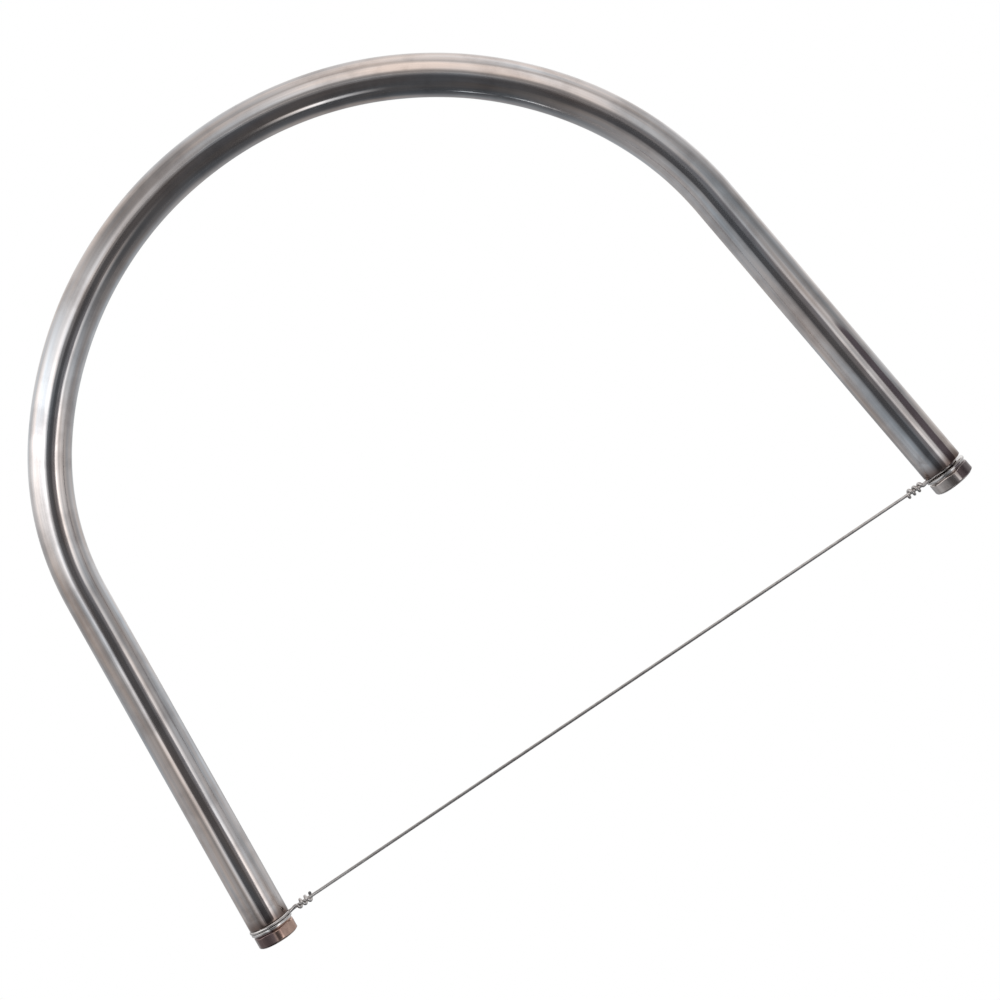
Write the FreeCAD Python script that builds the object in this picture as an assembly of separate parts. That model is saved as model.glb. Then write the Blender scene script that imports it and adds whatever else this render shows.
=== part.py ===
"""Hand-held bow wire cutter: a bent tube bow, a wire stretched across its mouth, and a bolt at each end.

The bow lies flat. +X runs along the cutting wire, +Y points from the wire to the crown of the bow, and
+Z is the normal of the bow's plane. The origin is the middle of the whole cutter's box, at its lowest point.
Lengths are millimetres and angles are degrees. One STEP file is written for each piece.
"""
import FreeCAD, Part
import math
import os

Vector = FreeCAD.Vector

# ---- Bow tube ----
tube_diameter = 12.0
tube_wall = 1.2
tube_end_rounding = 0.25
left_leg_length = 103.6          # straight part of each leg
right_leg_length = 97.9
left_leg_splay = 5.0             # how far each leg leans outwards towards its open end
right_leg_splay = 6.55
left_shoulder_radius = 79.4      # centreline radius where the leg turns into the crown
left_shoulder_bend = 32.15
right_shoulder_radius = 94.5
right_shoulder_bend = 25.1
crown_radius = 107.5             # centreline radius of the large middle arc

# ---- Threaded plugs, pressed into the tube's ends and welded there ----
plug_length = 8.0
thread_diameter = 6.0            # metric coarse thread, right-handed
thread_pitch = 1.0
thread_clearance = 0.12          # between the bolt's and the plug's thread, on every flank
thread_flank = 30.0              # each flank's slope from the thread's radial line
thread_crest = 0.125             # width of the flat crest
thread_depth = 0.55              # crest to root
plug_mouth_chamfer = 0.5
tap_overrun = 0.5                # how far past each end of the plug its thread is cut

# ---- Washers ----
washer_diameter = 12.4
washer_thickness = 0.7
washer_bore_play = 0.2           # all round the bolt's thread, in the washer's bore
washer_edge = 0.12               # broken edge round the rim

# ---- Hexagon bolts ----
head_across_flats = 11.5
head_play = 0.1                  # between the washer and the head, so that the bolt turns freely
head_height = 3.9                # whole head, with the raised ring under it
head_ring_height = 0.4           # raised bearing ring between the hexagon and the washer
head_ring_diameter = 10.8
head_chamfer_angle = 30.0        # slope of the chamfer on the head's outer end
head_chamfer_flat = 0.93         # diameter of the flat end, as a share of the size across flats
bolt_length = 8.0                # from under the head to the tip
bolt_tip_chamfer = 0.6
left_head_turn = 9.5             # how far a corner of each head is turned from the bow's plane
right_head_turn = 28.5

# ---- Cutting wire ----
wire_diameter = 0.9
wire_play = 0.02                 # left on each side of an eye between the tube's end and the washer
eye_tilt = 0.11                  # an eye isn't quite flat: its far side lies this much further out
eye_mouth = 76.0                 # angle that the eye's arc leaves open towards the wire
left_eye_radius = 5.9            # the left eye lies loose, near the tube's rim
right_eye_play = 0.35            # the right eye hugs the bolt, this far outside its thread
left_eye_reach = 8.6             # from the bolt's axis to the first wrap of the twist
right_eye_reach = 7.2
left_wire_rise = -0.2            # how far the wire leaves above the tube's end, towards the crown
right_wire_rise = -0.47
rim_clearance = 0.25             # how far outside the washer's rim the wire and its tail leave the gap
left_wraps = 2.75                # turns of the wire's tail round the wire
right_wraps = 3.0
tail_lead = 0.6                  # the wraps start this far along the straight wire
wrap_pitch = 1.65
wrap_play = 0.02                 # between the wire and the tail wound round it

# ---- Sizes that follow ----
tube_radius = tube_diameter / 2
tube_bore_radius = tube_radius - tube_wall
washer_bore = thread_diameter + 2 * washer_bore_play
wire_radius = wire_diameter / 2
right_eye_radius = thread_diameter / 2 + right_eye_play + wire_radius
wrap_radius = wire_diameter + wrap_play               # centre of the wire to centre of its tail
grip = wire_diameter + eye_tilt + 2 * wire_play      # gap that each eye is clamped in
washer_back = grip + washer_thickness                 # washer's outer face, from the tube's end
head_start = washer_back + head_play                  # head's inner face, from the tube's end
head_end = head_start + head_height                   # head's outer face, from the tube's end
head_corner_radius = head_across_flats / 2 / math.cos(math.radians(30))
up = Vector(0, 0, 1)


def flat_direction(angle):
    """Unit vector in the bow's plane at an angle from +X."""
    return Vector(math.cos(math.radians(angle)), math.sin(math.radians(angle)), 0)


def straight(start, heading, length):
    """A straight run of the centreline: its edge and its far end."""
    end = start + flat_direction(heading) * length
    return Part.LineSegment(start, end).toShape(), end


def right_turn(start, heading, radius, bend):
    """A clockwise arc of the centreline: its edge, its far end and the heading there."""
    to_start = flat_direction(heading + 90)
    centre = start - to_start * radius
    middle = centre + flat_direction(heading + 90 - bend / 2) * radius
    end = centre + flat_direction(heading + 90 - bend) * radius
    return Part.Arc(start, middle, end).toShape(), end, heading - bend


def bow_centreline():
    """Leg, shoulder, crown, shoulder and leg in one line, with the origin midway between its two ends."""
    heading = 90 - left_leg_splay
    crown_bend = 180 - left_leg_splay - right_leg_splay - left_shoulder_bend - right_shoulder_bend
    left_end = Vector(0, 0, 0)
    left_leg, corner = straight(left_end, heading, left_leg_length)
    left_shoulder, corner, heading = right_turn(corner, heading, left_shoulder_radius, left_shoulder_bend)
    crown, corner, heading = right_turn(corner, heading, crown_radius, crown_bend)
    right_shoulder, corner, heading = right_turn(corner, heading, right_shoulder_radius,
                                                 right_shoulder_bend)
    right_leg, right_end = straight(corner, heading, right_leg_length)
    path = Part.Wire([left_leg, left_shoulder, crown, right_shoulder, right_leg])
    midway = (left_end + right_end) / 2
    path.translate(-midway)
    return path, left_end - midway, right_end - midway


class End:
    """One end of the bow: its centre, the way out of the tube, and the way along the wire."""

    def __init__(self, centre, out, inward_sign):
        self.centre = centre
        self.out = out
        self.inward = up.cross(out) * inward_sign

    def at(self, inward, height, out):
        """A point given from the tube end's centre: towards the wire, up, and out of the tube."""
        return self.centre + self.inward * inward + up * height + self.out * out

    def place(self, shape):
        """Moves a shape made round +Z, with the tube's end face at Z = 0, onto this end."""
        turn = FreeCAD.Rotation(up.cross(self.out), up, self.out, "ZXY")
        placed = shape.copy()
        placed.Placement = FreeCAD.Placement(self.centre, turn)
        return placed


bow_path, left_centre, right_centre = bow_centreline()
left_end = End(left_centre, -flat_direction(90 - left_leg_splay), 1)
right_end = End(right_centre, flat_direction(-90 + right_leg_splay), -1)


def cylinder(radius, low, high):
    """A solid cylinder on the Z axis between two heights."""
    return Part.makeCylinder(radius, high - low, Vector(0, 0, low))


def bow_tube():
    """The hollow tube, swept along the bow's centreline, with the outer edges of its mouths rounded."""
    outer, bore = (
        bow_path.makePipe(Part.Face(Part.Wire(Part.makeCircle(radius, left_end.centre, left_end.out))))
        for radius in (tube_radius, tube_bore_radius))
    tube = outer.cut(bore)
    rims = [edge for edge in tube.Edges
            if isinstance(edge.Curve, Part.Circle)
            and abs(edge.Curve.Radius - tube_radius) < tube_wall / 2
            and min(edge.Curve.Center.distanceToPoint(end.centre) for end in (left_end, right_end))
            < tube_wall / 2]
    return tube.makeFillet(tube_end_rounding, rims)


def threaded_rod(clearance, low, high):
    """A right-handed threaded rod on the Z axis, its surface moved out by the clearance.

    The thread cut across is a crest arc, a root arc and the two flanks between them, whose radius falls
    evenly with the angle. That section turns once for each pitch on its way up the axis.
    """
    slope = math.tan(math.radians(thread_flank))
    widening = clearance / math.cos(math.radians(thread_flank)) - clearance * slope
    crest = thread_diameter / 2 + clearance
    crest_half_width = thread_crest / 2 + widening
    root = crest - thread_depth
    crest_angle = 2 * math.pi * crest_half_width / thread_pitch
    root_angle = crest_angle + 2 * math.pi * thread_depth * slope / thread_pitch

    def at(radius, angle):
        return Vector(radius * math.cos(angle), radius * math.sin(angle), low)

    def flank(side):
        points = [at(crest - thread_depth * share, side * (crest_angle + (root_angle - crest_angle) * share))
                  for share in (0, 0.2, 0.4, 0.6, 0.8, 1)]      # enough for an even spiral
        curve = Part.BSplineCurve()
        curve.interpolate(points)
        return curve.toShape()

    section = Part.Wire([
        Part.Arc(at(crest, -crest_angle), at(crest, 0), at(crest, crest_angle)).toShape(), flank(1),
        Part.Arc(at(root, root_angle), at(root, math.pi), at(root, -root_angle)).toShape(), flank(-1)])
    helix = Part.makeHelix(thread_pitch, high - low, thread_diameter)
    helix.translate(up * low)
    sweep = Part.BRepOffsetAPI.MakePipeShell(Part.Wire(Part.makeLine(up * low, up * high)))
    sweep.setAuxiliarySpine(Part.Wire(helix.Edges), False, 0)
    sweep.add(section)
    sweep.build()
    sweep.makeSolid()
    rod = sweep.shape()
    rod.rotate(Vector(0, 0, 0), up, 360 * low / thread_pitch)
    return rod


def end_plug():
    """A round plug, flush with the tube's end, tapped right through for the bolt."""
    body = cylinder(tube_bore_radius, -plug_length, 0)
    tapped = threaded_rod(thread_clearance, -plug_length - tap_overrun, tap_overrun)
    mouth_radius = thread_diameter / 2 + plug_mouth_chamfer
    mouth = Part.makeCone(mouth_radius - plug_mouth_chamfer * 2, mouth_radius, plug_mouth_chamfer * 2,
                          Vector(0, 0, -plug_mouth_chamfer * 2))
    return body.cut(tapped).cut(mouth)


def washer():
    """A flat washer between the wire's eye and the bolt's head."""
    ring = cylinder(washer_diameter / 2, grip, washer_back)
    ring = ring.makeChamfer(washer_edge, [e for e in ring.Edges if isinstance(e.Curve, Part.Circle)])
    return ring.cut(cylinder(washer_bore / 2, 0, head_end))


def bolt(head_turn):
    """A hexagon bolt, threaded up to its head, with the corner nearest +X turned by head_turn."""
    corners = [Vector(head_corner_radius, 0, 0)]
    for step in range(1, 6):
        corners.append(FreeCAD.Rotation(up, 60 * step).multVec(corners[0]))
    hexagon = Part.Face(Part.makePolygon(corners + corners[:1]))
    hexagon.rotate(Vector(0, 0, 0), up, head_turn)
    low = head_start + head_ring_height
    prism = hexagon.extrude(up * (head_end - low))
    prism.translate(up * low)
    flat_radius = head_across_flats / 2 * head_chamfer_flat
    drop = (head_corner_radius - flat_radius) * math.tan(math.radians(head_chamfer_angle))
    envelope = Part.makeCone(head_corner_radius, flat_radius, drop, up * (head_end - drop))
    envelope = envelope.fuse(cylinder(head_corner_radius, low, head_end - drop)).removeSplitter()
    head = prism.common(envelope).fuse(cylinder(head_ring_diameter / 2, head_start, low))
    tip = head_start - bolt_length
    tip_radius = thread_diameter / 2 - bolt_tip_chamfer
    shank_outline = Part.makeCone(tip_radius, thread_diameter / 2 + bolt_tip_chamfer,
                                  bolt_tip_chamfer * 2, up * tip)
    shank_outline = shank_outline.fuse(
        cylinder(thread_diameter / 2 + bolt_tip_chamfer, tip + bolt_tip_chamfer * 2, head_end))
    shank = threaded_rod(0, tip, head_start).common(shank_outline.removeSplitter())
    return head.fuse(shank)


def blend(start, start_direction, end, end_direction):
    """A smooth cubic edge that leaves one point and reaches the other in the given directions."""
    pull = start.distanceToPoint(end) / 3
    curve = Part.BezierCurve()
    curve.setPoles([start, start + start_direction * pull, end - end_direction * pull, end])
    return curve.toShape()


def eye(end, radius, wire_start, along, wraps):
    """The wire's end: an eye that goes once round the bolt, and the tail wound back round the wire.

    From the straight wire the path dips into the gap between the tube's end and the washer, joins the
    eye's arc, passes outside the bolt, leaves the gap above, and ends as a right-handed helix.
    """
    half_mouth = math.radians(eye_mouth / 2)
    near, far = wire_play + wire_radius, grip - wire_play - wire_radius
    rim = washer_diameter / 2 + rim_clearance
    wire_dip = end.at(rim, 0, near)
    tail_dip = end.at(rim, wrap_radius + wire_play, near)
    below, above = (end.at(radius * math.cos(half_mouth), side * radius * math.sin(half_mouth), near)
                    for side in (-1, 1))
    arc = Part.Arc(below, end.at(-radius, 0, far), above)
    arc_start, arc_end = (arc.tangent(at)[0] for at in (arc.FirstParameter, arc.LastParameter))
    across = along.cross(up)
    helix_base = wire_start + along * tail_lead
    helix = Part.makeHelix(wrap_pitch, wrap_pitch * wraps, wrap_radius)
    helix.Placement = FreeCAD.Placement(helix_base, FreeCAD.Rotation(up, across, along, "ZXY"))
    helix_start = (along * (wrap_pitch / (2 * math.pi)) + across * wrap_radius).normalize()
    path = Part.Wire([
        blend(wire_start, -along, wire_dip, -end.inward), blend(wire_dip, -end.inward, below, arc_start),
        arc.toShape(), blend(above, arc_end, tail_dip, end.inward),
        blend(tail_dip, end.inward, helix_base + up * wrap_radius, helix_start)] + helix.Edges)
    section = Part.Wire([Part.makeCircle(wire_radius, wire_start, along)])
    return path.makePipeShell([section], True, False)


def cutting_wire():
    """One wire: the straight cutting length, and at each end an eye that is twisted shut."""
    left_start = left_end.at(left_eye_reach, 0, -left_wire_rise)
    right_start = right_end.at(right_eye_reach, 0, -right_wire_rise)
    along = (right_start - left_start).normalize()
    span = Part.makeCylinder(wire_radius, left_start.distanceToPoint(right_start), left_start, along)
    return span.fuse([eye(left_end, left_eye_radius, left_start, along, left_wraps),
                      eye(right_end, right_eye_radius, right_start, -along, right_wraps)])


pieces = {
    "bow_tube": bow_tube(),
    "left_end_plug": left_end.place(end_plug()),
    "right_end_plug": right_end.place(end_plug()),
    "left_washer": left_end.place(washer()),
    "right_washer": right_end.place(washer()),
    "left_bolt": left_end.place(bolt(left_head_turn)),
    "right_bolt": right_end.place(bolt(right_head_turn)),
    "cutting_wire": cutting_wire(),
}

# The whole cutter's box sets the origin: the middle in X and Y, and the lowest point in Z.
box = Part.makeCompound(list(pieces.values())).optimalBoundingBox(False)
origin = Vector(box.Center.x, box.Center.y, box.ZMin)

os.makedirs("parts", exist_ok=True)
for name, shape in pieces.items():
    placed = shape.copy()
    placed.translate(-origin)
    placed.exportStep("parts/" + name + ".step")
    print(name, "solids", len(placed.Solids), "valid", placed.isValid(), "volume", round(placed.Volume, 2))
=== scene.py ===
import math

import bpy
import numpy as np
from mathutils import Matrix, Vector


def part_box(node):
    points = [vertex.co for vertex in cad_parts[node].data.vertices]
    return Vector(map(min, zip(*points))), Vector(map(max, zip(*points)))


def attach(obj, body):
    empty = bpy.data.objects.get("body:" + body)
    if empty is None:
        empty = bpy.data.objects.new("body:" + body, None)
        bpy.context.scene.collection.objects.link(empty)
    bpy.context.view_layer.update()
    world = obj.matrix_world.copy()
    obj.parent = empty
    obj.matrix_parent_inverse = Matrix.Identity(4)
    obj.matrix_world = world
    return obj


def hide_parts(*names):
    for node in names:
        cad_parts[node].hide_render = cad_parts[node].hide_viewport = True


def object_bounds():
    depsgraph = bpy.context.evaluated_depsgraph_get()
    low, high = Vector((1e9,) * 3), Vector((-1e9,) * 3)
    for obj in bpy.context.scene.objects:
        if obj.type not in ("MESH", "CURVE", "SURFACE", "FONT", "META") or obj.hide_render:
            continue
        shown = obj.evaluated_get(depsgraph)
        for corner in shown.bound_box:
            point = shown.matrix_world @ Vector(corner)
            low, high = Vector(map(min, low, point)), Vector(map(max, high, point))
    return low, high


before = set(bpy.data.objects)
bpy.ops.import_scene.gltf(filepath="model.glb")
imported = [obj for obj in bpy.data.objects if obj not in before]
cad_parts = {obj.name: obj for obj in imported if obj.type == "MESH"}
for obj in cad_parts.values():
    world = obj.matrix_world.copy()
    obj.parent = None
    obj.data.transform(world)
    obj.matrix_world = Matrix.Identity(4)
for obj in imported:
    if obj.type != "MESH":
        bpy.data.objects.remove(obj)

cad_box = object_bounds()
mm = 0.001

# ---- Sizes shared with the part ----
tube_radius = 6.0 * mm
tube_wall = 1.2 * mm
tube_end_rounding = 0.25 * mm
left_leg_length = 103.6 * mm
left_leg_splay = math.radians(5.0)
right_leg_splay = math.radians(6.55)
left_shoulder_radius = 79.4 * mm
left_shoulder_bend = math.radians(32.15)
right_shoulder_radius = 94.5 * mm
right_shoulder_bend = math.radians(25.1)
crown_radius = 107.5 * mm
crown_bend = math.pi - left_leg_splay - right_leg_splay - left_shoulder_bend - right_shoulder_bend
plug_length = 8.0 * mm

washer_radius = 6.2 * mm
washer_bore_radius = 3.2 * mm
washer_edge = 0.16 * mm
washer_face = 1.05 * mm              # inner face, from the tube's end
washer_back = 1.75 * mm              # outer face, from the tube's end

head_apothem = 5.75 * mm
head_start = 1.85 * mm               # inner end of the head, from the tube's end
head_end = 5.75 * mm                 # outer end of the head, from the tube's end
head_ring_height = 0.4 * mm
head_ring_radius = 5.4 * mm
head_chamfer_angle = math.radians(30.0)
head_flat_radius = head_apothem * 0.93
thread_radius = 3.0 * mm
thread_depth = 0.55 * mm
thread_pitch = 1.0 * mm
thread_crest = thread_pitch / 8
thread_flank_angle = math.radians(30.0)
bolt_length = 8.0 * mm
bolt_tip_chamfer = 0.6 * mm
left_head_turn = math.radians(9.5)
right_head_turn = math.radians(28.5)

# ---- Wear that only the finished surfaces show ----
head_edge_rounding = 0.16 * mm
head_corner_rounding = 1.6 * mm
head_roundness = 0.4                 # how far the worn hexagon has gone towards a circle
head_worn_radius = 6.1 * mm
head_under_angle = math.radians(40.0)
head_ring_chamfer = 0.1 * mm
head_dish_depth = 0.09 * mm
head_dish_edge = 0.12                # share of the head's radius in which the dish reaches its depth
left_true_length = left_leg_length * 0.85    # part of each leg that bending left true
right_true_length = left_leg_length * 0.88
bend_oval = 0.05 * mm                # how much flatter the tube is across its bends
bend_fade = 25.0 * mm                # length in which the bends' unevenness comes in
end_plain = 6.0 * mm                 # length at each end that has no waves
end_fade = 30.0 * mm

# Height, length and start of each slow wave along the tube, and its turns round the tube.
tube_waves = [(0.018 * mm, 9.3 * mm, 0.0, 2), (0.022 * mm, 15.1 * mm, 1.0, -2),
              (0.012 * mm, 5.2 * mm, 2.0, 3)]
straight_waves = 0.55                # size of the waves on the straight legs, as a share of the bends'

# ---- Fineness of the meshes ----
tube_columns, tube_outer_rows, tube_bore_rows, tube_rim_points = 96, 640, 160, 6
washer_columns, washer_corner_points = 120, 5
bolt_columns, thread_rows, head_rows = 360, 130, 64
crease = 0.02 * mm                   # gap between two rings that hold an edge sharp
bore_lip = 0.03 * mm                 # the same at the mouth of the tube's bore

up = np.array([0.0, 0.0, 1.0])


# ---- The two ends of the bow, from the frame ----
def flat_direction(angle):
    """Unit vector in the bow's plane at an angle from +X."""
    return np.array([math.cos(angle), math.sin(angle), 0.0])


def tube_mouth(plug, out):
    """Centre of the tube's open end: half a plug's length outwards from the middle of the plug's box."""
    low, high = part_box(plug)
    return np.array((low + high) / 2) + out * plug_length / 2


def end_frame(mouth, out):
    """Origin and the three axes of one end: across the tube in the bow's plane, up, and out of the tube."""
    return mouth, np.cross(up, out), up, out


left_out = -flat_direction(math.pi / 2 - left_leg_splay)
right_out = flat_direction(-math.pi / 2 + right_leg_splay)
left_mouth = tube_mouth("left_end_plug", left_out)
right_mouth = tube_mouth("right_end_plug", right_out)
left_end = end_frame(left_mouth, left_out)
right_end = end_frame(right_mouth, right_out)


# ---- Mesh helpers ----
def face_grid(rows, cols, wrap_rows):
    """Corner numbers of the squares between neighbouring rings, each ring closed on itself."""
    number = np.arange(rows * cols).reshape(rows, cols)
    below = number if wrap_rows else number[:-1]
    above = np.roll(number, -1, axis=0) if wrap_rows else number[1:]
    return np.stack([below, np.roll(below, -1, 1), np.roll(above, -1, 1), above], -1).reshape(-1, 4)


def ring_surface(name, rings, grain, closed_loop):
    """A smooth mesh through rings of points, rows by columns by three, which also carries its grain.

    With closed_loop the last ring joins the first, as on a tube with a bore. Otherwise each end is closed by
    a fan of triangles to the middle of its ring. The faces are turned outwards by the sign of the volume: six
    times it is the sum over all triangles of the first corner dotted with the cross product of the others.
    """
    rows, cols, _ = rings.shape
    points, grain_points = rings.reshape(-1, 3), grain.reshape(-1, 3)
    squares = face_grid(rows, cols, closed_loop)
    fans = np.zeros((0, 3), int)
    if not closed_loop:
        points = np.vstack([points, rings[0].mean(0), rings[-1].mean(0)])
        grain_points = np.vstack([grain_points, grain[0].mean(0), grain[-1].mean(0)])
        first, last = np.arange(cols), np.arange(cols) + (rows - 1) * cols
        fans = np.vstack([
            np.stack([np.roll(first, -1), first, np.full(cols, rows * cols)], -1),
            np.stack([last, np.roll(last, -1), np.full(cols, rows * cols + 1)], -1)])
    corners = points[np.vstack([squares[:, [0, 1, 2]], squares[:, [0, 2, 3]], fans])]
    if np.einsum("ij,ij->", corners[:, 0], np.cross(corners[:, 1], corners[:, 2])) < 0:
        squares, fans = squares[:, ::-1], fans[:, ::-1]

    mesh = bpy.data.meshes.new(name)
    mesh.vertices.add(len(points))
    mesh.vertices.foreach_set("co", points.astype(np.float32).ravel())
    mesh.loops.add(squares.size + fans.size)
    mesh.loops.foreach_set("vertex_index", np.concatenate([squares.ravel(), fans.ravel()]).astype(np.int32))
    mesh.polygons.add(len(squares) + len(fans))
    starts = np.concatenate([np.arange(len(squares)) * 4, squares.size + np.arange(len(fans)) * 3])
    mesh.polygons.foreach_set("loop_start", starts.astype(np.int32))
    mesh.polygons.foreach_set("use_smooth", np.ones(len(starts), bool))
    mesh.update(calc_edges=True)
    mesh.validate()
    mesh.attributes.new("grain_space", "FLOAT_VECTOR", "POINT")
    mesh.attributes["grain_space"].data.foreach_set("vector", grain_points.astype(np.float32).ravel())
    return scene_object(name, mesh)


def scene_object(name, data):
    """An object at the origin that shows a mesh or a camera."""
    thing = bpy.data.objects.new(name, data)
    bpy.context.scene.collection.objects.link(thing)
    return thing


def turned_piece(name, end, radius, angle, height, closed_loop):
    """A piece of rings round an end's outward axis, by radius, angle and height out of the tube.

    Each point is the mouth, plus radius times (cosine across + sine up), plus height times outwards. Its
    grain is the same point measured along the end's own three axes.
    """
    mouth, *axes = end
    grain = np.stack([radius * np.cos(angle), radius * np.sin(angle), height], -1)
    return ring_surface(name, mouth + grain @ np.array(axes), grain, closed_loop)


def fit_piece(thing, body, node, material):
    """Puts a finished piece on its body, in place of its plain CAD node."""
    thing.data.materials.append(material)
    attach(thing, body)
    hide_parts(node)


def smooth_step(value):
    """0 below nought, 1 above one, and between them three times the square less twice the cube."""
    value = np.clip(value, 0.0, 1.0)
    return value * value * (3 - 2 * value)


def soft_least(first, second, rounding):
    """The smaller of two values, with the crease between them rounded off.

    A share goes from 0 to 1 as their difference crosses the rounding. The result is their mixture by that
    share, less the rounding times the share times its rest.
    """
    blend = np.clip(0.5 + 0.5 * (second - first) / rounding, 0, 1)
    return second * (1 - blend) + first * blend - rounding * blend * (1 - blend)


# ---- Bent tube ----
def side_of(heading):
    """Unit vector to the left of a heading, in the bow's plane."""
    return np.array([-math.sin(heading), math.cos(heading), 0.0])


def stretch(run, corner, heading, curvature):
    """Points and side directions at distances along one leg or arc, from its first corner and heading.

    The heading turns clockwise by distance times curvature. On an arc the point is the corner plus the change
    of the side direction over the curvature.
    """
    turned = heading - curvature * run
    sides = np.stack([-np.sin(turned), np.cos(turned), 0 * turned], -1)
    if curvature == 0:
        return corner + run[:, None] * flat_direction(heading), sides
    return corner + (sides - side_of(heading)) / curvature, sides


def bow_centreline(distance):
    """Point and outward side direction of the tube's centreline at distances from its left end.

    The line is a straight leg, three clockwise arcs, and a straight leg, each starting where the one before
    it ends.
    """
    arcs = [(left_shoulder_radius, left_shoulder_bend), (crown_radius, crown_bend),
            (right_shoulder_radius, right_shoulder_bend)]
    stretches = [(left_leg_length, 0.0)] + [(radius * bend, 1 / radius) for radius, bend in arcs]
    start, corner, heading = 0.0, left_mouth, math.pi / 2 - left_leg_splay
    points, sides = np.zeros((len(distance), 3)), np.zeros((len(distance), 3))
    for length, curvature in stretches + [(math.inf, 0.0)]:
        here = (distance >= start) & (distance <= start + length)
        points[here], sides[here] = stretch(distance[here] - start, corner, heading, curvature)
        if math.isfinite(length):
            corner = stretch(np.array([length]), corner, heading, curvature)[0][0]
            heading -= curvature * length
            start += length
    return points, sides


def centreline_length():
    """Length of the whole centreline: the last leg runs from its corner to the right end."""
    before = (left_leg_length + left_shoulder_radius * left_shoulder_bend + crown_radius * crown_bend
              + right_shoulder_radius * right_shoulder_bend)
    corner = bow_centreline(np.array([before]))[0][0]
    return before + np.linalg.norm(right_mouth - corner)


tube_length = centreline_length()


def tube_ripple(angle, distance):
    """Radial unevenness that bending leaves: an oval section at the bends, and slow waves along the tube.

    The oval is its depth times the cosine of twice the angle. Each wave is its height times the sine of the
    distance over its length, plus its turns times the angle, plus its start. Both fade out by smooth steps.
    """
    from_right = tube_length - distance
    bent = (smooth_step((distance - left_true_length) / bend_fade)
            * smooth_step((from_right - right_true_length) / bend_fade))
    away = smooth_step((distance - end_plain) / end_fade) * smooth_step((from_right - end_plain) / end_fade)
    waves = sum(height * np.sin(distance / length + turns * angle + start)
                for height, length, start, turns in tube_waves)
    return (away * waves * (straight_waves + (1 - straight_waves) * bent)
            - bend_oval * bent * np.cos(2 * angle))


def bent_tube():
    """The hollow tube: rings carried along the centreline, out over the surface and back through the bore.

    Each ring is the centreline point plus its radius times (cos a * side + sin a * up). The row list gives a
    distance along and a radius: outer surface, rounded rim, end face, bore, and the other end the same way.
    """
    rim, bore, lip = tube_end_rounding, tube_radius - tube_wall, bore_lip
    quarter = np.linspace(0, math.pi / 2, tube_rim_points)[1:]
    over, drop = rim * np.sin(quarter), tube_radius - rim + rim * np.cos(quarter)
    outer = np.linspace(rim, tube_length - rim, tube_outer_rows)
    inner = np.linspace(tube_length - lip, lip, tube_bore_rows)
    face = np.array([bore + lip * 2, bore + lip])
    distance = np.concatenate([outer, tube_length - rim + over, np.full(2, tube_length), inner, np.zeros(2),
                               (rim - over)[::-1]])
    radius = np.concatenate([np.full(len(outer), tube_radius), drop, face, np.full(len(inner), bore),
                             face[::-1], drop[::-1]])
    angle = np.linspace(0, 2 * math.pi, tube_columns, endpoint=False)
    points, sides = bow_centreline(distance)
    on_outside = (radius >= tube_radius)[:, None]
    spread = radius[:, None] + np.where(on_outside, tube_ripple(angle[None], distance[:, None]), 0)
    across, above = spread * np.cos(angle), spread * np.sin(angle)
    rings = points[:, None] + across[..., None] * sides[:, None] + above[..., None] * up
    grain = np.stack([across, above, np.broadcast_to(distance[:, None], spread.shape)], -1)
    return ring_surface("bent_tube", rings, grain, True)


# ---- Washers ----
def flat_washer(name, end):
    """A ring: a rounded rectangle, its corners quarter circles, carried once round the bolt's axis."""
    quarter = np.linspace(0, math.pi / 2, washer_corner_points)
    half_width = (washer_radius - washer_bore_radius) / 2 - washer_edge
    half_height = (washer_back - washer_face) / 2 - washer_edge
    outline = np.vstack([
        np.stack([side * half_width + washer_edge * np.cos(quarter + turn * math.pi / 2),
                  face * half_height + washer_edge * np.sin(quarter + turn * math.pi / 2)], -1)
        for turn, (side, face) in enumerate([(1, 1), (-1, 1), (-1, -1), (1, -1)])])
    angle = np.linspace(0, 2 * math.pi, washer_columns, endpoint=False)
    size = (len(outline), len(angle))
    radius = np.broadcast_to((washer_radius + washer_bore_radius) / 2 + outline[:, :1], size)
    height = np.broadcast_to((washer_back + washer_face) / 2 + outline[:, 1:], size)
    return turned_piece(name, end, radius, angle, height, True)


# ---- Hexagon bolts ----
def thread_radii(height, angle):
    """The thread's radius by height and angle: a flat crest, straight flanks, a flat root and a tapered tip.

    The way from the nearest crest is height over pitch less the angle's share of a turn, folded at one half.
    Past half a crest the radius falls by that way over the tangent of the flank's angle, down to the root.
    The taper is smallest at the tip and grows by the height above it.
    """
    phase = (height / thread_pitch - angle / (2 * math.pi)) % 1.0
    from_crest = np.abs(phase - np.round(phase)) * thread_pitch
    fall = (from_crest - thread_crest / 2) / math.tan(thread_flank_angle)
    taper = thread_radius - bolt_tip_chamfer + (height - height[0])
    return np.minimum(thread_radius - np.clip(fall, 0, thread_depth), taper)


def head_radii(height, angle, turn):
    """The head's radius by height and angle: a worn hexagon cut by a chamfer cone at each end.

    The hexagon is the apothem over the cosine of the angle from the nearest flat, its corners rounded, and
    then mixed with a circle. Each cone's radius is its least one, plus the height from its end over the
    tangent of its angle.
    """
    sixth = math.pi / 3
    from_flat = (angle - turn) % sixth - sixth / 2
    hexagon = soft_least(head_apothem / np.cos(from_flat), head_apothem / np.cos(sixth - np.abs(from_flat)),
                         head_corner_rounding)
    worn = (1 - head_roundness) * hexagon + head_roundness * head_worn_radius
    outer_cone = head_flat_radius + (head_end - height) / math.tan(head_chamfer_angle)
    inner_cone = head_apothem + (height - height[0]) / math.tan(head_under_angle)
    head = soft_least(np.broadcast_to(worn, (len(height), len(angle))), outer_cone, head_edge_rounding * 2)
    return soft_least(head, inner_cone, head_edge_rounding)


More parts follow.
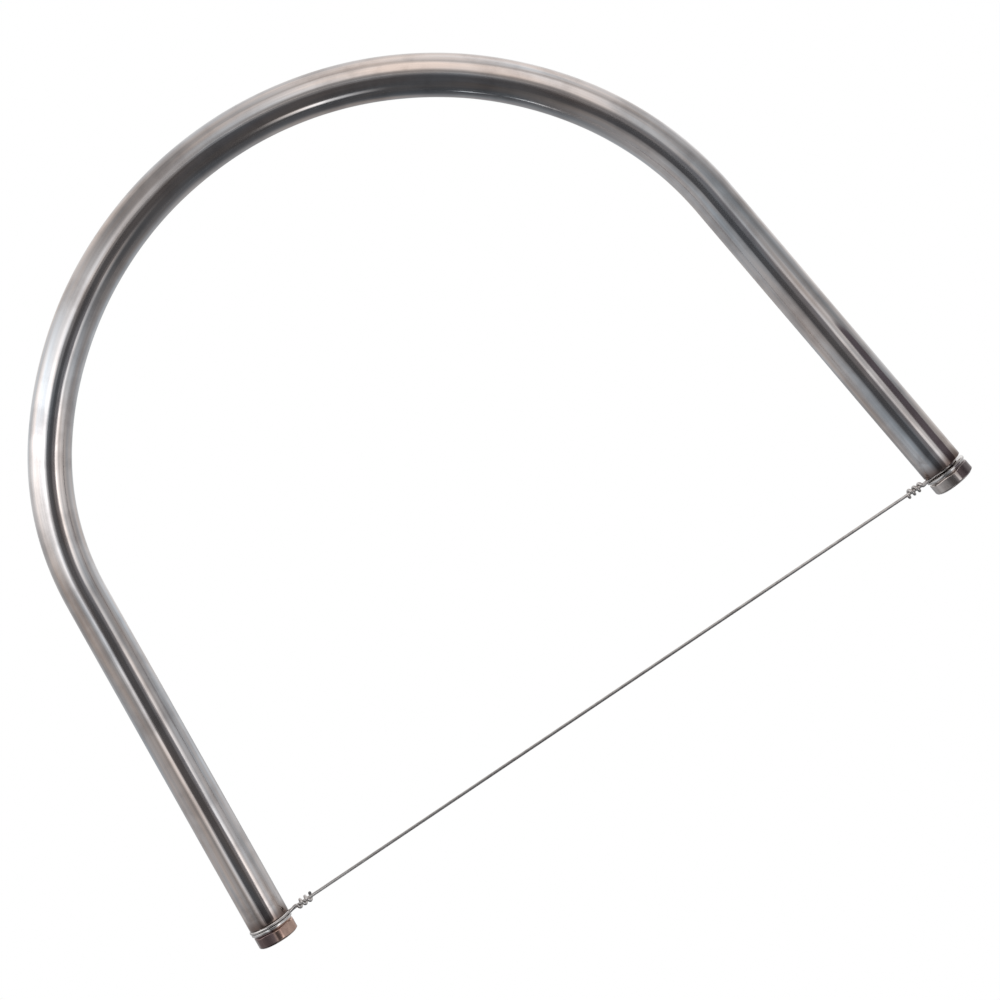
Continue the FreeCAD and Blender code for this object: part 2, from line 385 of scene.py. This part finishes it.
def hex_bolt(name, end, turn):
    """A bolt in rings from its tip to the middle of its head: thread, seating ring, hexagon and dished end.

    The end is a disc whose rings are shares of the head's last ring, sunk by a smooth step from its edge.
    """
    angle = np.linspace(0, 2 * math.pi, bolt_columns, endpoint=False)
    head_low = head_start + head_ring_height
    shank = np.linspace(head_start - bolt_length, head_start, thread_rows)[:, None]
    side = head_low + (head_end - head_low) * np.linspace(0, 1, head_rows)[:, None]
    head = head_radii(side, angle, turn)

    ring = head_start + np.array([[0.0], [crease], [head_ring_chamfer], [head_ring_height - crease]])
    ring_radius = np.full((len(ring), len(angle)), head_ring_radius)
    ring_radius[0] -= head_ring_chamfer

    share = np.array([[0.985], [0.96], [0.9], [0.75], [0.5], [0.25], [0.08]])
    dish = head_end - head_dish_depth * smooth_step((1 - share) / head_dish_edge)
    dish[0] = head_end

    radius = np.vstack([thread_radii(shank, angle), ring_radius, head, share * head[-1]])
    height = np.broadcast_to(np.vstack([shank, ring, side, dish]), radius.shape)
    return turned_piece(name, end, radius, angle, height, False)


# ---- Shader helpers ----
def add(tree, kind, **values):
    """A shader node with some of its properties set."""
    node = tree.nodes.new(kind)
    for key, value in values.items():
        setattr(node, key, value)
    return node


def feed(socket, value):
    """Links an input to another node's output, or sets it to a plain value."""
    if isinstance(value, bpy.types.NodeSocket):
        socket.id_data.links.new(value, socket)
    else:
        socket.default_value = value


def filled(node, values):
    """The same node with its named inputs linked or set."""
    for label, value in values.items():
        feed(node.inputs[label], value)
    return node


def combine(tree, operation, *values):
    """One number worked out from one or two, each an output or a plain value."""
    node = add(tree, "ShaderNodeMath", operation=operation)
    for socket, value in zip(node.inputs, values):
        feed(socket, value)
    return node.outputs[0]


def rise(tree, value, start, end):
    """A smooth mask that is 0 at the start value and 1 at the end value."""
    node = add(tree, "ShaderNodeMapRange", interpolation_type="SMOOTHSTEP")
    return filled(node, {"Value": value, "From Min": start, "From Max": end}).outputs["Result"]


def mixed(tree, share, first, second, blend="MIX"):
    """Two colours mixed by a share, each an output or a plain colour."""
    node = add(tree, "ShaderNodeMix", data_type="RGBA", blend_type=blend)
    first, second = [(*colour, 1) if isinstance(colour, tuple) else colour for colour in (first, second)]
    return filled(node, {"Factor": share, "A": first, "B": second}).outputs["Result"]


def split(tree, place):
    """The three coordinates of a place, by the names X, Y and Z."""
    parts = add(tree, "ShaderNodeSeparateXYZ")
    feed(parts.inputs[0], place)
    return parts.outputs


def group_with(name, inputs, result):
    """An empty node group with named number or vector inputs and one named number as its result."""
    kinds = {"value": "NodeSocketFloat", "vector": "NodeSocketVector"}
    tree = bpy.data.node_groups.new(name, "ShaderNodeTree")
    for label, kind in inputs.items():
        tree.interface.new_socket(label, in_out="INPUT", socket_type=kinds[kind])
    tree.interface.new_socket(result, in_out="OUTPUT", socket_type=kinds["value"])
    return tree, tree.nodes.new("NodeGroupInput").outputs, tree.nodes.new("NodeGroupOutput").inputs[result]


def drawn_grain():
    """Fine parallel streaks: noise squeezed across the grain and drawn out along it, as polishing leaves."""
    tree, given, result = group_with(
        "drawn_grain", {"Place": "vector", "Squeeze": "vector", "Detail": "value"}, "Streak")
    squeezed = add(tree, "ShaderNodeVectorMath", operation="MULTIPLY")
    feed(squeezed.inputs[0], given["Place"])
    feed(squeezed.inputs[1], given["Squeeze"])
    noise = filled(add(tree, "ShaderNodeTexNoise"), {
        "Vector": squeezed.outputs[0], "Scale": 1.0, "Detail": given["Detail"], "Roughness": 0.62})
    spread = filled(add(tree, "ShaderNodeMapRange"), {
        "Value": noise.outputs["Fac"], "From Min": 0.32, "From Max": 0.68})
    feed(result, spread.outputs["Result"])
    return tree


def handling_marks():
    """Soft blotches with a sharper edge, as thin oxide and fingers leave on bare steel."""
    tree, given, result = group_with("handling_marks", {"Place": "vector", "Size": "value"}, "Mark")
    noise = filled(add(tree, "ShaderNodeTexNoise"), {
        "Vector": given["Place"], "Scale": given["Size"], "Detail": 5.0, "Roughness": 0.55})
    feed(result, rise(tree, noise.outputs["Fac"], 0.4, 0.68))
    return tree


grain_group = drawn_grain()
marks_group = handling_marks()


def streaks_on(tree, place, squeeze, detail):
    """The drawn grain at a place, squeezed along the three axes."""
    node = add(tree, "ShaderNodeGroup", node_tree=grain_group)
    return filled(node, {"Place": place, "Squeeze": squeeze, "Detail": detail}).outputs["Streak"]


def marks_on(tree, place, size):
    """The handling marks at a place."""
    node = add(tree, "ShaderNodeGroup", node_tree=marks_group)
    return filled(node, {"Place": place, "Size": size}).outputs["Mark"]


# ---- Finishes ----
streak_share = 0.45                  # part of the mixture of tones that streaks decide, not marks


def steel(name, clean, dull, grain, smooth, rough, bump, marks_size, on_grain=True, tint=None, drift=None):
    """Bare steel: two tones and two roughnesses mixed by blotches and streaks, with the streaks as fine bump.

    grain squeezes the streaks along the three axes, in the piece's own grain or, without on_grain, in the
    frame's axes. drift multiplies in two hues, mixed by broader streaks. tint adds one more colour, by a mask
    that the function given works out from the place on the piece.
    """
    material = bpy.data.materials.new(name)
    material.use_nodes = True
    tree = material.node_tree
    if on_grain:
        place = add(tree, "ShaderNodeAttribute", attribute_name="grain_space").outputs["Vector"]
    else:
        place = add(tree, "ShaderNodeTexCoord").outputs["Object"]
    streaks = streaks_on(tree, place, grain, 3.0)
    wear = combine(tree, "ADD", combine(tree, "MULTIPLY", streaks, streak_share),
                   combine(tree, "MULTIPLY", marks_on(tree, place, marks_size), 1 - streak_share))
    colour = mixed(tree, wear, clean, dull)
    if drift is not None:
        broad = streaks_on(tree, place, (grain[0] * 0.25, grain[1] * 0.25, grain[2] * 0.7), 2.0)
        colour = mixed(tree, 1.0, colour, mixed(tree, broad, *drift), "MULTIPLY")
    if tint is not None:
        shade, mask = tint(tree, place)
        colour = mixed(tree, mask, colour, shade)

    gloss = filled(add(tree, "ShaderNodeMapRange"), {"Value": wear, "To Min": smooth, "To Max": rough})
    relief = filled(add(tree, "ShaderNodeBump"), {"Strength": 1.0, "Distance": bump, "Height": streaks})
    filled(tree.nodes["Principled BSDF"], {
        "Metallic": 1.0, "Base Color": colour, "Roughness": gloss.outputs["Result"],
        "Normal": relief.outputs["Normal"]})
    return material


def heat_tint_and_painted_end_shade(tree, place):
    """The brown tint that welding in the plugs leaves round both ends of the tube, uneven in reach.

    The way from the nearer end is the lesser of the distance along and the rest of the tube. A wide patchy
    mask, the heat tint, and a narrow even one fall off with it, and the greater of the two holds. The narrow
    one is painted shade: it darkens the last few millimetres of each end, as the shadowed gap to the washer
    would.
    """
    # One colour serves both the brown heat tint and the painted shade at the ends.
    shade, patch_size = (0.17, 0.115, 0.095), 260.0
    wide_reach, wide_full, wide_depth = 12 * mm, 1 * mm, 0.55
    end_shade_reach, end_shade_depth = 5 * mm, 0.9
    along = split(tree, place)["Z"]
    from_end = combine(tree, "MINIMUM", along, combine(tree, "SUBTRACT", tube_length, along))
    patches = combine(tree, "MULTIPLY", marks_on(tree, place, patch_size), wide_depth)
    wide = combine(tree, "MULTIPLY", rise(tree, from_end, wide_reach, wide_full), patches)
    # Painted shade: an even darkening of the last few millimetres of each end, where the gap to the washer
    # lies in shadow.
    painted_end_shade = combine(tree, "MULTIPLY", rise(tree, from_end, end_shade_reach, 0), end_shade_depth)
    return shade, combine(tree, "MAXIMUM", wide, painted_end_shade)


def one_side_painted_shade(start, end, shade):
    """Painted shade on one side of a bolt's head, darkening the facet there as its reflection would: a darker
    colour rising from start to end across the tube.
    """
    # depth is how strong the painted shade on that side gets.
    depth = 0.8

    def tint(tree, place):
        return shade, combine(tree, "MULTIPLY", rise(tree, split(tree, place)["X"], start, end), depth)
    return tint


# The tube's tint is heat tint plus a painted shade at both ends.
tube_finish = steel(
    "polished_tube", clean=(0.76, 0.74, 0.725), dull=(0.47, 0.45, 0.44), grain=(900.0, 900.0, 22.0),
    smooth=0.08, rough=0.17, bump=0.008 * mm, marks_size=90.0, tint=heat_tint_and_painted_end_shade,
    drift=((0.88, 0.97, 1.06), (1.12, 0.99, 0.92)))
washer_finish = steel(
    "bright_washer", clean=(0.86, 0.84, 0.83), dull=(0.6, 0.58, 0.565), grain=(500.0, 500.0, 500.0),
    smooth=0.1, rough=0.24, bump=0.003 * mm, marks_size=400.0)
# Each bolt's head is darkened on one side by painted shade.
left_bolt_finish = steel(
    "browned_bolt", clean=(0.72, 0.51, 0.42), dull=(0.33, 0.22, 0.19), grain=(420.0, 420.0, 160.0),
    smooth=0.12, rough=0.26, bump=0.006 * mm, marks_size=260.0,
    tint=one_side_painted_shade(1.6 * mm, 0.2 * mm, (0.13, 0.10, 0.11)))
right_bolt_finish = steel(
    "worn_bolt", clean=(0.78, 0.73, 0.70), dull=(0.46, 0.39, 0.36), grain=(420.0, 420.0, 160.0),
    smooth=0.11, rough=0.24, bump=0.006 * mm, marks_size=260.0,
    tint=one_side_painted_shade(1.6 * mm, 3.2 * mm, (0.19, 0.16, 0.17)))
wire_finish = steel(
    "drawn_wire", clean=(0.76, 0.73, 0.71), dull=(0.46, 0.43, 0.42), grain=(420.0, 420.0, 420.0),
    smooth=0.16, rough=0.32, bump=0.001 * mm, marks_size=300.0, on_grain=False)
plug_finish = steel(
    "turned_plug", clean=(0.55, 0.53, 0.51), dull=(0.38, 0.36, 0.34), grain=(900.0, 900.0, 900.0),
    smooth=0.25, rough=0.42, bump=0.002 * mm, marks_size=300.0, on_grain=False)

# ---- The pieces on their bodies ----
fit_piece(bent_tube(), "bow", "bow_tube", tube_finish)
fit_piece(flat_washer("left_flat_washer", left_end), "left_washer", "left_washer",
          washer_finish)
fit_piece(flat_washer("right_flat_washer", right_end), "right_washer", "right_washer",
          washer_finish)
fit_piece(hex_bolt("left_hex_bolt", left_end, left_head_turn), "left_bolt", "left_bolt",
          left_bolt_finish)
fit_piece(hex_bolt("right_hex_bolt", right_end, right_head_turn), "right_bolt", "right_bolt",
          right_bolt_finish)

for node, finish in (("cutting_wire", wire_finish), ("left_end_plug", plug_finish),
                     ("right_end_plug", plug_finish)):
    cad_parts[node].data.materials.clear()
    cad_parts[node].data.materials.append(finish)


# ---- Studio ----
def light_card():
    """One soft-edged light in the sky dome, by azimuth from +X and angle from straight up, in degrees.

    Its strength is multiplied by three smooth steps: how far the azimuth is inside its half width, and how
    far the angle is below its top and above its foot.
    """
    labels = ("Azimuth", "Fall", "Middle", "Half Width", "Side Softness", "Top", "Foot", "Softness",
              "Strength")
    tree, given, result = group_with("light_card", {label: "value" for label in labels}, "Light")
    offset = combine(tree, "SUBTRACT", given["Azimuth"], given["Middle"])
    apart = combine(tree, "ABSOLUTE", combine(tree, "WRAP", offset, 180.0, -180.0))

    def edge(value, at, softness, start, end):
        return rise(tree, value, combine(tree, start, at, softness), combine(tree, end, at, softness))

    sides = edge(apart, given["Half Width"], given["Side Softness"], "ADD", "SUBTRACT")
    top = edge(given["Fall"], given["Top"], given["Softness"], "SUBTRACT", "ADD")
    foot = edge(given["Fall"], given["Foot"], given["Softness"], "ADD", "SUBTRACT")
    patch = combine(tree, "MULTIPLY", sides, combine(tree, "MULTIPLY", top, foot))
    feed(result, combine(tree, "MULTIPLY", patch, given["Strength"]))
    return tree


# Name, azimuth, half width and its softness, top, foot and their softness (all degrees), strength and colour.
warm, neutral, cool = (1.0, 0.965, 0.94), (1.0, 1.0, 1.0), (0.94, 0.97, 1.0)
studio_lights = [
    ("large softbox", 142, 14, 21, 14, 97, 24, 1.55, neutral),
    ("large softbox spill", 125, 37, 17, 97, 129, 24, 0.40, neutral),
    ("side panel", 57, 31, 19, 16, 59, 8, 0.70, warm),
    ("side panel foot", 57, 30, 23, 66, 118, 20, 0.60, warm),
    ("front softbox", 327, 25, 24, 36, 54, 12, 1.60, neutral),
    ("front softbox spill", 329, 22, 16, 56, 88, 18, 0.50, cool),
    ("room behind", 68, 122, 18, -5, 190, 3, 0.22, warm),
    ("left wall", 195, 16, 18, 46, 127, 26, 0.35, cool),
    ("small lamp", 253, 2, 9, 63, 74, 6, 2.7, neutral),
    ("far lamp", 219, 3, 1.5, 97, 101, 1, 1.2, neutral),
    ("farther lamp", 229, 2, 1, 103, 106, 1, 1.2, neutral),
    ("ceiling", 238, 126, 27, 9, 25, 14, 0.9, cool),
    ("right ground", 83, 92, 48, 126, 200, 20, 0.44, neutral),
    ("near ground", 30, 42, 48, 110, 200, 24, 0.15, warm),
    ("left ground", 252, 64, 10, 131, 200, 26, 0.29, cool),
    ("under ground", 350, 66, 45, 92, 200, 15, 0.15, cool),
]
dome_grey = (0.085, 0.088, 0.093, 1)

# Name, middle, half size in X and Y, slope along X, half width of the soft edge, and colour.
studio_flags = [
    ("flag_above", (-0.050, -0.088, 0.34), (0.125, 0.142), 0.0, 0.045, (0.085, 0.088, 0.095)),
    ("flag_sleeve", (0.120, -0.088, 0.345), (0.055, 0.142), 0.0, 0.03, (0.20, 0.20, 0.215)),
    ("flag_right", (0.244, -0.148, 0.0395), (0.1165, 0.105), 0.075, 0.003, (0.115, 0.098, 0.11)),
]


def studio_dome():
    """The world: a dim grey dome with the studio lights on it, and a plain white backdrop for the camera."""
    world = bpy.data.worlds.new("studio")
    world.use_nodes = True
    bpy.context.scene.world = world
    tree = world.node_tree
    card = light_card()
    direction = split(tree, add(tree, "ShaderNodeTexCoord").outputs["Generated"])
    degrees = 180 / math.pi
    azimuth = combine(tree, "MULTIPLY", combine(tree, "ARCTAN2", direction["Y"], direction["X"]), degrees)
    fall = combine(tree, "MULTIPLY", combine(tree, "ARCCOSINE", direction["Z"]), degrees)
    total = add(tree, "ShaderNodeRGB").outputs[0]
    total.default_value = dome_grey
    for name, *values, colour in studio_lights:
        light = filled(add(tree, "ShaderNodeGroup", node_tree=card, label=name), {
            "Azimuth": azimuth, "Fall": fall})
        for socket, value in zip(light.inputs[2:], values):
            feed(socket, value)
        scaled = add(tree, "ShaderNodeVectorMath", operation="SCALE")
        feed(scaled.inputs[0], colour)
        feed(scaled.inputs["Scale"], light.outputs["Light"])
        summed = add(tree, "ShaderNodeVectorMath", operation="ADD")
        feed(summed.inputs[0], total)
        feed(summed.inputs[1], scaled.outputs[0])
        total = summed.outputs[0]
    lights = filled(tree.nodes["Background"], {"Color": total})
    backdrop = filled(add(tree, "ShaderNodeBackground"), {"Color": (1, 1, 1, 1)})
    seen = add(tree, "ShaderNodeLightPath").outputs["Is Camera Ray"]
    show_mixed(tree, "World Output", seen, lights, backdrop)


def show_mixed(tree, output, share, first, second):
    """Two shaders mixed by a share, shown by the tree's output."""
    shown = add(tree, "ShaderNodeMixShader")
    for socket, value in zip(shown.inputs, (share, first.outputs[0], second.outputs[0])):
        feed(socket, value)
    feed(tree.nodes[output].inputs["Surface"], shown.outputs[0])


def flat_card(name, corners):
    """A single rectangle with its own material, which only glows. Gives the object, its tree and its glow."""
    mesh = bpy.data.meshes.new(name)
    mesh.from_pydata(corners, [], [(0, 1, 2, 3)])
    material = bpy.data.materials.new(name)
    material.use_nodes = True
    mesh.materials.append(material)
    tree = material.node_tree
    tree.nodes.remove(tree.nodes["Principled BSDF"])
    return scene_object(name, mesh), tree, add(tree, "ShaderNodeEmission")


def studio_flag(name, middle, half_size, slope, edge, shade):
    """A dark card held over the cutter, seen only in the steel, that fades out over its soft edge.

    Its height is its middle's, plus the slope times X. Its cover is the product of two smooth steps, across
    the soft edges in X and in Y.
    """
    across, along = half_size[0] + edge, half_size[1] + edge
    corners = [(-across, along), (across, along), (across, -along), (-across, -along)]
    flag, tree, glow = flat_card(name, [(middle[0] + x, middle[1] + y, middle[2] + slope * x)
                                        for x, y in corners])
    filled(glow, {"Color": (*shade, 1)})
    centred = add(tree, "ShaderNodeVectorMath", operation="SUBTRACT")
    feed(centred.inputs[0], add(tree, "ShaderNodeTexCoord").outputs["Object"])
    feed(centred.inputs[1], middle)
    place = split(tree, centred.outputs[0])
    sides = [rise(tree, combine(tree, "ABSOLUTE", place[axis]), half + edge, half - edge)
             for axis, half in zip("XY", half_size)]
    show_mixed(tree, "Material Output", combine(tree, "MULTIPLY", *sides),
               add(tree, "ShaderNodeBsdfTransparent"), glow)
    flag.visible_camera = flag.visible_diffuse = flag.visible_shadow = flag.visible_transmission = False


def white_floor():
    """A wide plain floor just under the cutter, white to the camera and unseen in the steel."""
    reach, height = 3.0, cad_box[0].z - 0.02 * mm
    corners = [(-reach, -reach), (reach, -reach), (reach, reach), (-reach, reach)]
    floor, tree, glow = flat_card("floor", [(x, y, height) for x, y in corners])
    filled(glow, {"Color": (1, 1, 1, 1)})
    feed(tree.nodes["Material Output"].inputs["Surface"], glow.outputs[0])
    floor.visible_glossy = False


def camera_above():
    """A camera over the bow, square to its plane but for a small lean, turned so that the wire slopes up.

    Its axes are X, Y and Z turned clockwise about Z and then leaned about X. It aims at a point inside the
    bow, a set way from the middle of the line between the tube's ends.
    """
    turn, lean, distance = math.radians(34.1), math.radians(1.2), 445.5 * mm
    right = Vector((math.cos(turn), -math.sin(turn) * math.cos(lean), math.sin(turn) * math.sin(lean)))
    above = Vector((math.sin(turn), math.cos(turn) * math.cos(lean), -math.cos(turn) * math.sin(lean)))
    back = Vector((0, math.sin(lean), math.cos(lean)))
    aim_offset = Vector((5.88, 61.21, 0)) * mm
    aim = Vector((left_mouth + right_mouth) / 2) + aim_offset
    data = bpy.data.cameras.new("camera")
    data.sensor_width = 36.0
    data.lens = 57.6
    data.clip_start = 0.01
    data.clip_end = 10
    camera = scene_object("camera", data)
    turned = Matrix((right, above, back)).transposed().to_4x4()
    camera.matrix_world = Matrix.Translation(aim + back * distance) @ turned
    bpy.context.scene.camera = camera


studio_dome()
for flag_values in studio_flags:
    studio_flag(*flag_values)
white_floor()
camera_above()
bpy.context.scene.view_settings.view_transform = "Standard"
